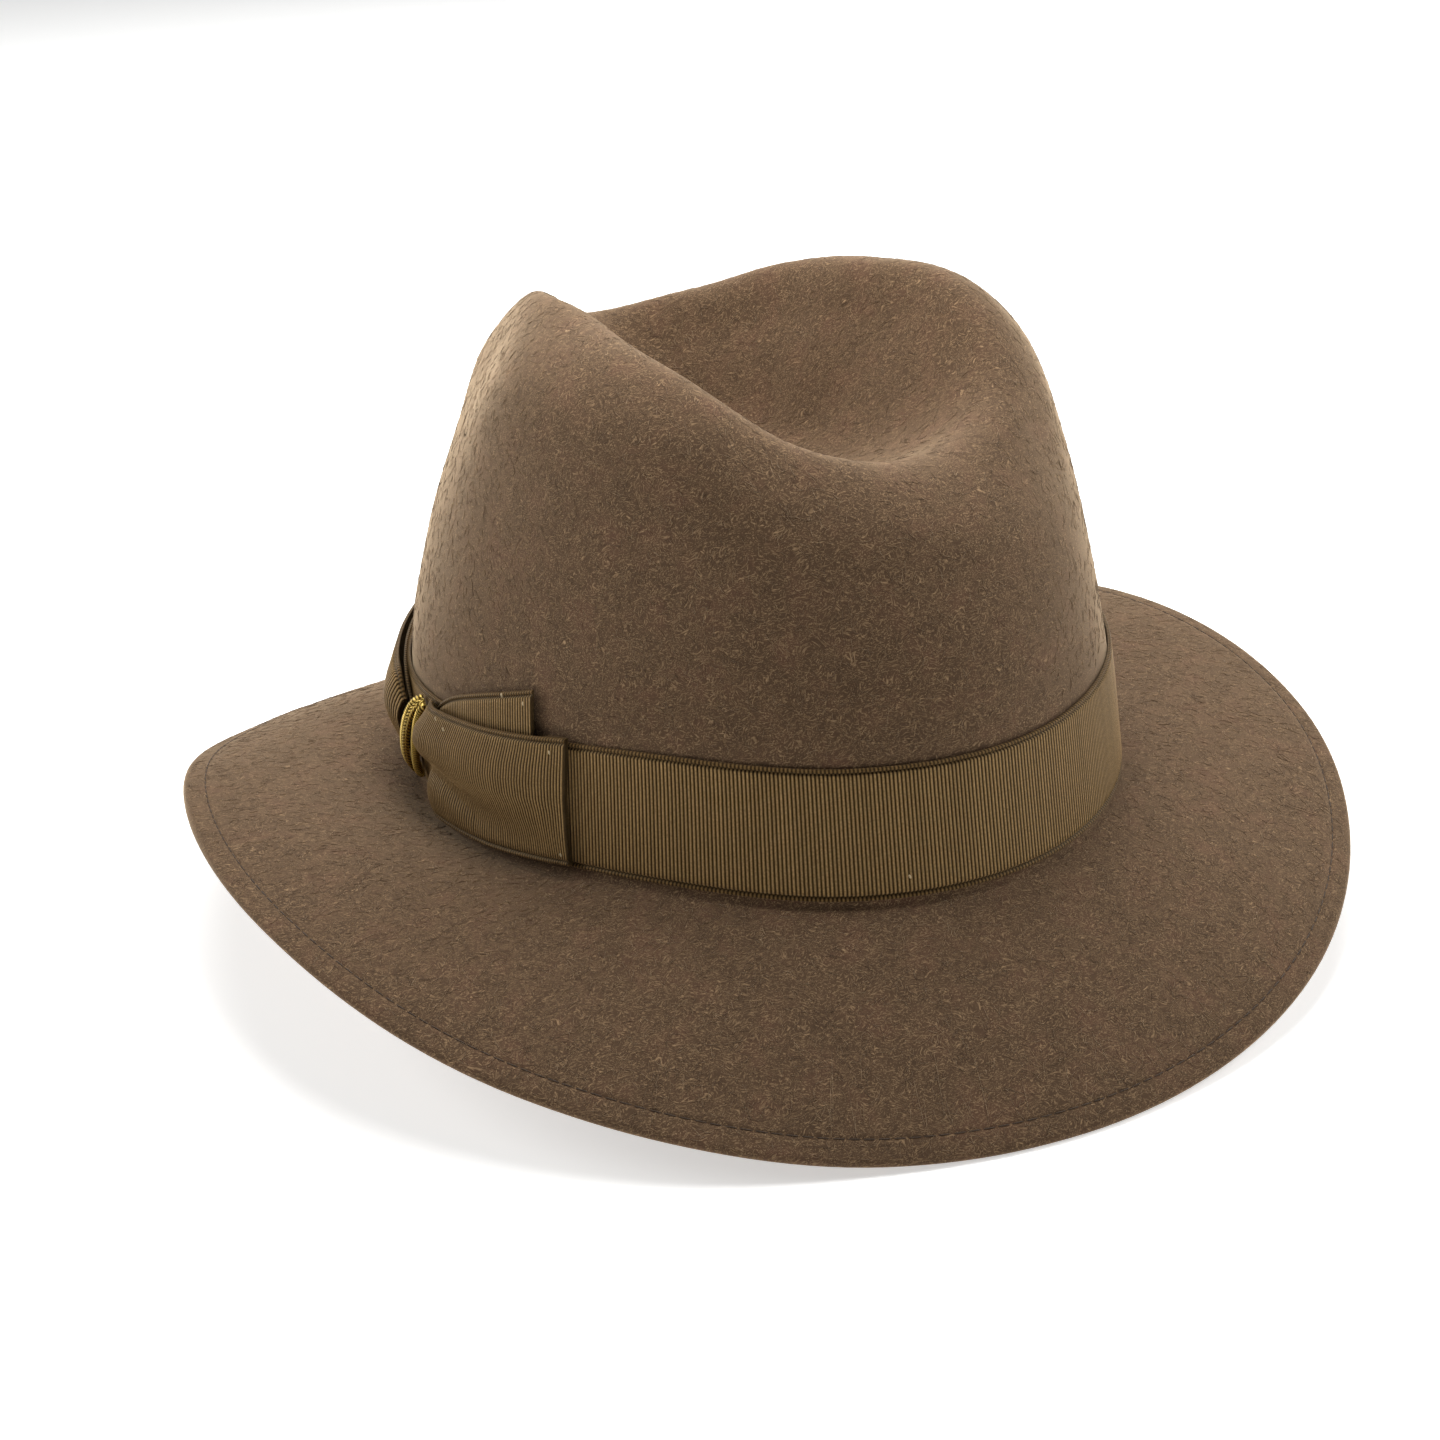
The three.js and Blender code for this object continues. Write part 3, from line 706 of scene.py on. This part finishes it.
def makeRibbon(name, surface, node, closedRound=False, thickness=None, fieldColumns=27):
    # surface(s, t) gives points along the ribbon, s, and across it from its lower edge, t, both from 0 to 1
    s = np.linspace(0, 1, 1601)
    length = walkedLength(surface(s, np.full_like(s, 0.5)))
    ribs = round(length[-1] / ribbon["ribPitch"])
    samples = ribs * ribbon["ribSamples"] + (0 if closedRound else 1)
    at = np.linspace(0, length[-1], samples, endpoint=not closedRound)
    s = np.interp(at, length, s)
    t, height, edge, groove = ribbonColumns(fieldColumns).T
    sGrid, tGrid = np.meshgrid(s, t, indexing="ij")
    base = surface(sGrid, tGrid)
    normal = surfaceNormal(surface, sGrid, tGrid)
    phase = at / ribbon["ribPitch"] % 1
    rib = ribWave(phase)[:, None] * np.ones_like(t)
    tick = ribWave(phase + 0.5)[:, None] * np.ones_like(t)
    shown = np.where(edge > 0, tick, rib)
    ribRise = ribbon["ribDepth"] * rib * (groove < 0.3)
    rise = height + np.where(edge > 0, ribbon["selvedgeTicks"] * (tick - 1), ribRise)
    front = base + normal * rise[..., None]
    thick = np.zeros_like(at) if thickness is None else thickness(at, length[-1])
    back = base - normal * thick[:, None, None]
    rows, columns = rise.shape
    # a plain ribbon's back needs few columns, and a folded one's follows the front
    backPick = np.round(np.linspace(0, columns - 1, 5 if fieldColumns < 10 else columns)).astype(int)[::-1]
    sheet = np.concatenate([front, back[:, backPick]], 1)
    wide = sheet.shape[1]
    r, c = np.meshgrid(np.arange(rows if closedRound else rows - 1), np.arange(wide), indexing="ij")
    nextRow, nextColumn = (r + 1) % rows, (c + 1) % wide
    here, below = r * wide, nextRow * wide
    faces = np.stack([here + c, below + c, below + nextColumn, here + nextColumn], -1)
    faces = [faces.reshape(-1, 4)]
    if not closedRound:
        # each cut end is closed by one face
        for row, turn in ((0, -1), (rows - 1, 1)):
            faces.append((row * wide + np.arange(wide)[::turn])[None])

    def spread(values, backValue):
        return np.concatenate([values, np.full((rows, len(backPick)), backValue)], 1)

    layers = {
        # the rib wave places the painted shade between the ribs and the painted highlight on their crowns
        "rib": spread(shown, 0.6),
        "edge": spread(np.broadcast_to(edge, rise.shape), 0),
        "groove": spread(np.broadcast_to(groove, rise.shape), 0),
        "across": np.concatenate([tGrid, tGrid[:, backPick]], 1) * ribbon["width"],
        "along": np.repeat(at[:, None], wide, 1),
    }
    piece = makePiece(name, sheet.reshape(-1, 3), faces, ribbonMaterial, layers)
    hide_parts(node)
    print(name, "made", len(piece.data.polygons), "length", round(length[-1], 1))


def bandPoint(theta, part, offset):
    # a point over the band: part of its height, and millimetres out from the felt
    point = crownPoint(theta, np.minimum(lastStation - part, lastStation))
    point[..., 2] += np.minimum(part, 0) * (felt["bandTop"] - felt["breakRadius"])
    return point + outward(theta) * np.asarray(offset)[..., None]


def bandSurface(s, t):
    return bandPoint(2 * math.pi * s, t, np.full_like(s, ribbon["gap"]))


makeRibbon("ribbon_band_woven", bandSurface, "ribbon_band",
           closedRound=True, fieldColumns=5)


# The bow: a rear wing over an upper tail, and a loop in front, all gathered under the knot

bow = {
    "wing": {
        "end": 107.3,           # degrees round the head
        "offset": 2.6,
        # where the wing starts at the knot: place across it, and degrees round the head
        "startAcross": [0, 0.3, 0.42, 0.5, 0.62, 0.75, 1],
        "startAngle": [72, 73, 73.6, 71.6, 70.8, 71.5, 75],
        "sweep": 2.4,           # degrees by which the lower edge swings out behind
        "sweepTo": 0.45,        # share of the width that swings
        "bulge": -1.2,          # degrees by which the middle swings forward
        "bulgeFade": 0.6,
        # the lower edge and the width at the knot, in parts of the band's height, and how each grows
        "lowerEdge": (-0.01, 0.05),
        "width": (0.99, 0.03),
        # place along the wing, and there the place of the fold across it
        "foldAlong": [0, 0.18, 0.43, 0.72, 1],
        "foldAcross": [0.43, 0.41, 0.25, 0.2, 0.2],
        # place along the wing, and there the whole wing's lift
        "liftAlong": [0, 0.12, 0.5, 0.8, 0.95],
        "lift": [0.3, 1.2, 1.2, 0.6, 0],
        # place along the wing, and there the fold's depth
        "depthAlong": [0, 0.12, 0.45, 0.8, 0.95],
        "depth": [1.2, 2.3, 2, 0.9, 0],
        "foldWidth": (0.09, 0.05),
        # forms beside the knot: height, place across the wing and its drift along it, width, and the
        # share of the wing over which each fades. The pillow lies above the fold and the lobe below it.
        "pillow": {"height": 2.6, "across": 0.64, "drift": -0.1, "width": 0.19, "fade": 0.28},
        "lobe": {"height": 1.4, "across": 0.18, "drift": 0, "width": 0.15, "fade": 0.45},
        "upperCorner": {"height": -1.2, "across": 1, "drift": 0, "width": 0.22, "fade": 0.06},
        "nip": 2.4,             # how far the knot presses the whole wing in, over a very short stretch
        "nipFade": 0.02,
        "lowest": -0.9,         # the wing never goes in further than this, so it clears the band
        "hem": 9,               # length of the end that is folded under
        "hemStep": 2,
    },
    # angle, low and high along the upper tail, in degrees and in parts of the band's height
    "tail": [(73.5, 0.1, 0.72), (80, 0.1, 1.06), (89.5, 0.26, 1.24), (101, 0.38, 1.39)],
    "tailOffset": 1.5,
    # angle, low, high, offset and swell along the front loop, from the knot along the felt
    # and back over itself
    "loop": [(64.3, 0.3, 0.74, 2.3, 0), (55, 0.06, 0.94, 2.3, 0), (42, 0, 1, 2.3, 0), (29, 0, 1, 2.35, 0),
             (26, 0, 1, 2.9, 0), (30, 0, 1, 3.5, 0), (40, 0, 1, 3.4, 0.4), (50, 0, 1, 3.4, 2),
             (57, 0.02, 1, 3.4, 3.8), (61, 0.1, 0.98, 3.4, 4), (64.3, 0.25, 0.8, 3.2, 2.2)],
    "loopFullness": 1.8,        # over 1, so the swell is fullest above the loop's middle
}


def tableSurface(table):
    # a ribbon whose path is a table, a row for each place along it
    columns = list(zip(*table))

    def surface(s, t):
        place = np.clip(s, 0, 1) * (len(table) - 1)
        angle, low, high = (rowValue(columns[i], place) for i in range(3))
        offset = rowValue(columns[3], place) if len(columns) > 3 else np.full_like(s, bow["tailOffset"])
        swell = 0
        if len(columns) > 4:
            swell = rowValue(columns[4], place) * np.sin(np.pi * np.clip(t, 0, 1) ** bow["loopFullness"])
        return bandPoint(np.radians(angle), low + (high - low) * t, offset + swell)
    return surface


def bell(value, middle, width):
    return np.exp(-((value - middle) / width) ** 2)


def swelling(form, s, t):
    # a rounded form that is highest at the knot and fades along the wing
    across = form["across"] + form["drift"] * s
    return form["height"] * bell(t, across, form["width"]) * np.exp(-np.clip(s, 0, 1) / form["fade"])


def wingSurface(s, t):
    # the wing leaves the knot as a pillow above and a lower lobe, with a deep fold between them
    wing = bow["wing"]
    inside = np.clip(s, 0, 1)
    start = np.interp(t, wing["startAcross"], wing["startAngle"])
    sweep = wing["sweep"] * np.clip(1 - t / wing["sweepTo"], 0, 1) * 4 * inside * (1 - inside)
    bulge = wing["bulge"] * np.sin(np.pi * np.clip(t, 0, 1)) * inside * (1 - wing["bulgeFade"] * inside)
    angle = start + (wing["end"] - start) * s + sweep + bulge
    lowerEdge, width, foldWidth = (
        wing[name][0] + wing[name][1] * s for name in ("lowerEdge", "width", "foldWidth"))
    fold = np.interp(s, wing["foldAlong"], wing["foldAcross"])
    lift = np.interp(s, wing["liftAlong"], wing["lift"])
    depth = np.interp(s, wing["depthAlong"], wing["depth"])
    rise = lift + swelling(wing["pillow"], s, t) + swelling(wing["lobe"], s, t)
    rise = np.maximum(rise - depth * bell(t, fold, foldWidth), 0)
    rise += swelling(wing["upperCorner"], s, t) - wing["nip"] * np.exp(-inside / wing["nipFade"])
    offset = wing["offset"] + np.maximum(rise, wing["lowest"])
    return bandPoint(np.radians(angle), lowerEdge + width * t, offset)


def foldedEnd(at, total):
    # how far the back lies below the surface: almost nothing, but a millimetre at the turned hem
    wing = bow["wing"]
    return 0.05 + 0.95 * np.clip((at - total + wing["hem"]) / wing["hemStep"], 0, 1)


makeRibbon("bow_wing_woven", wingSurface, "bow_rear_wing",
           thickness=foldedEnd)
makeRibbon("bow_tail_woven", tableSurface(bow["tail"]), "bow_upper_tail",
           fieldColumns=11)
makeRibbon("bow_loop_woven", tableSurface(bow["loop"]), "bow_front_loop",
           fieldColumns=13)


# The knot: gold gimp, a flat metallic cord wound over a core, so each strand has fine slanting ribs
# that glint, with painted shade in the grooves between them

knot = {
    "angle": 68,
    "slant": 10,                # degrees round the head by which its top lies behind its foot
    "depth": 5.6,
    "height": 30.5,
    "lift": 5.5,
    "offset": 2.4,
    # place across the knot, half width, half depth, rise, pitch of the winding and how steeply it turns
    "strands": [(-1.6, 1.15, 1.0, -1.9, 0.8, 1),
                (-0.7, 0.44, 0.48, -0.6, 1.3, 2),
                (0, 0.44, 0.48, -0.05, 1.3, -2),
                (1.1, 1.0, 0.85, 0.25, 0.8, -1)],
    "ribHeight": 0.14,
    "fullness": 0.8,            # under 1, so the strands stand full and drop steeply at their ends
    "sides": 12,
    "steps": 360,               # divisions along a strand
    # painted shade: the winding's grooves take the shaded gold, its crowns the gold
    "gold": "#c4a85c",
    "shadedGold": "#4d3a14",
    "roughness": 0.36,
}


def goldGimp():
    material, tree, shader = newMaterial("gold gimp thread, wound", knot, Metallic=1.0)
    rib = addNode(tree, "ShaderNodeAttribute", attribute_name="rib").outputs["Fac"]
    # painted shade in the grooves between the windings
    tint = addNode(tree, "ShaderNodeValToRGB", {}, {0: rib},
                   ramp=[(0.1, knot["shadedGold"]), (0.8, knot["gold"])])
    tree.links.new(tint.outputs[0], shader.inputs["Base Color"])
    return material


def makeKnot():
    theta0 = math.radians(knot["angle"])
    ends = theta0 + math.radians(knot["slant"] / 2) * np.array([-1, 1])
    foot, head = bandPoint(ends, np.array([0.0, 1.0]), np.full(2, knot["offset"]))
    up = unit(head - foot)
    alongBand = unit(np.cross(outward(np.array(theta0)), up))
    out = np.cross(up, alongBand)
    middle = foot + up * (knot["lift"] + knot["height"] / 2)
    points, faces, ribs = [], [], []
    sides = knot["sides"]
    around = np.linspace(0, 2 * math.pi, sides, endpoint=False)
    phi = np.linspace(-math.pi / 2, math.pi / 2, knot["steps"] + 1)
    for place, halfWidth, halfDepth, rise, pitch, turns in knot["strands"]:
        half = knot["height"] / 2 - halfDepth
        depth = knot["depth"] - halfDepth + rise
        path = middle + np.outer(np.cos(phi) ** knot["fullness"] * depth, out)
        path += np.outer(np.sin(phi) * half, up)
        path += alongBand * place
        heading = unit(np.gradient(path, axis=0))
        other = np.cross(heading, alongBand)
        length = walkedLength(path)
        wave = np.sin(2 * math.pi * length[:, None] / pitch + around[None] * turns)
        wide = halfWidth + knot["ribHeight"] * wave
        deep = halfDepth + knot["ribHeight"] * wave
        ring = path[:, None] + alongBand * (wide * np.cos(around))[..., None]
        ring = ring + other[:, None] * (deep * np.sin(around))[..., None]
        start = sum(len(p) for p in points)
        points.append(ring.reshape(-1, 3))
        # the winding's wave, which places the painted shade in its grooves
        ribs.append((0.5 + 0.5 * wave).ravel())
        faces.append(gridFaces(len(path), sides, True) + start)
        faces.append((start + np.arange(sides))[None])
        faces.append((start + (len(path) - 1) * sides + np.arange(sides)[::-1])[None])
    piece = makePiece("gold_knot", np.concatenate(points), faces, goldGimp(), {"rib": np.concatenate(ribs)})
    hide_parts("bow_knot")


makeKnot()
print("knot made")


# Sewing thread: the brim's edge stitches, and the pale tacks that hold the bow

thread = {
    "roughness": 0.6,
    "specular": 0.35,
    "twist": 0.4,
    "brown": ("#2c1f14", "#4a3826"),
    "pale": ("#8f7a58", "#cdbb98"),
    "pitch": 3.4,
    "stitch": 2.7,
    "radius": 0.17,
    "proud": 0.3,               # part of the radius by which a stitch's middle stands out of the felt
    "clear": 0.02,
    "tackLength": 1,
    "tackRadius": 0.26,
    # ribbon, place along it and place across it, both from 0 to 1
    "tacks": [("tail", 0.83, 0.975), ("tail", 0.955, 0.9), ("wing", 0.93, 0.887), ("wing", 0.965, 0.09),
              ("wing", 0.19, 0.93), ("wing", 0.28, 0.87), ("band", 0.439, 0.16)],
    "tackHeight": 0.95,         # above the ribbon's back
}


def sewingThread(name, colour):
    # spun polyester, twisted in the making: a little gloss, and the twist gives it a fine mottling
    material, tree, shader = newMaterial(name, thread, IOR=1.5)
    place = addNode(tree, "ShaderNodeTexCoord").outputs["Object"]
    twist = addNode(tree, "ShaderNodeTexNoise", {"Scale": 1 / (thread["twist"] * mm), "Detail": 2.0},
                    {0: place})
    tint = addNode(tree, "ShaderNodeMix", {6: linearColour(colour[0]), 7: linearColour(colour[1])},
                   {0: twist.outputs["Fac"]}, data_type="RGBA")
    tree.links.new(tint.outputs[2], shader.inputs["Base Color"])
    return material


def capsules(middles, along, normal, length, radius):
    # short rounded threads, each a closed six-sided spindle: place along it and width there
    rings = [(-0.5, 0.35), (-0.36, 0.85), (0, 1.0), (0.36, 0.85), (0.5, 0.35)]
    tip = 0.53
    sides = 6
    side = unit(np.cross(along, normal))
    points = [middles - along * length * tip]
    for place, wide in rings:
        for corner in range(sides):
            angle = 2 * math.pi * corner / sides
            points.append(middles + along * length * place
                          + (side * math.cos(angle) + normal * math.sin(angle)) * radius * wide)
    points.append(middles + along * length * tip)
    pattern = []
    last = len(rings) * sides + 1
    for corner in range(sides):
        after = (corner + 1) % sides
        pattern.append((0, 1 + after, 1 + corner))
        pattern.append((last, last - sides + corner, last - sides + after))
        for ring in range(len(rings) - 1):
            a, b = 1 + ring * sides + corner, 1 + ring * sides + after
            pattern += [(a, b, b + sides), (a, b + sides, a + sides)]
    count = last + 1
    faces = (np.arange(len(middles))[:, None, None] * count + np.array(pattern)[None]).reshape(-1, 3)
    return np.stack(points, 1).reshape(-1, 3), faces


def makeBrimStitches():
    row = int(np.argmin(np.abs(outerAcross - (felt["brimWidth"] - felt["stitchLine"]))))
    points, faces = [], []
    depth = felt["weltThickness"] - felt["stitchDent"] * 2
    proud = thread["radius"] * thread["proud"]
    # one row on the outer face and one on the underside, half a stitch further on
    for height, start in ((thread["clear"] + proud, 0), (-depth - thread["clear"] - proud, 0.5)):
        loop = outerGrid[row] + outerNormals[row] * height
        closed = np.concatenate([loop, loop[:1]])
        length = walkedLength(closed)
        count = round(length[-1] / thread["pitch"])
        at = (np.arange(count) + start) / count * length[-1]
        index = np.arange(len(closed))
        column = np.interp(at, length, index)
        ends = []
        for shift in (-0.5, 0.5):
            beside = np.interp(at + shift, length, index, period=length[-1])
            ends.append(gridPoint(closed[None].repeat(2, 0), 0 * column, beside))
        normal = unit(gridPoint(outerNormals[row][None].repeat(2, 0), 0 * column, column))
        middles = (ends[0] + ends[1]) / 2
        made, patch = capsules(middles, unit(ends[1] - ends[0]), normal, thread["stitch"], thread["radius"])
        faces.append(patch + sum(len(p) for p in points))
        points.append(made)
    brown = sewingThread("brown sewing thread", thread["brown"])
    makePiece("brim_stitches", np.concatenate(points), faces, brown)


def makeTacks():
    surfaces = {"band": bandSurface, "wing": wingSurface, "tail": tableSurface(bow["tail"])}
    middles, out = [], []
    for ribbonName, s, t in thread["tacks"]:
        surface = surfaces[ribbonName]
        s, t = np.array([s]), np.array([t])
        normal = surfaceNormal(surface, s, t)[0]
        middles.append(surface(s, t)[0] + normal * thread["tackHeight"])
        out.append(normal)
    middles, out = np.array(middles), np.array(out)
    up = np.broadcast_to([0, 0, 1.0], out.shape)
    along = unit(np.cross(np.cross(out, up + 0.4 * np.cross(out, up)), out))
    points, faces = capsules(middles, along, out, thread["tackLength"], thread["tackRadius"])
    makePiece("tack_stitches", points, faces, sewingThread("pale tacking thread", thread["pale"]))


makeBrimStitches()
makeTacks()
print("stitches made")
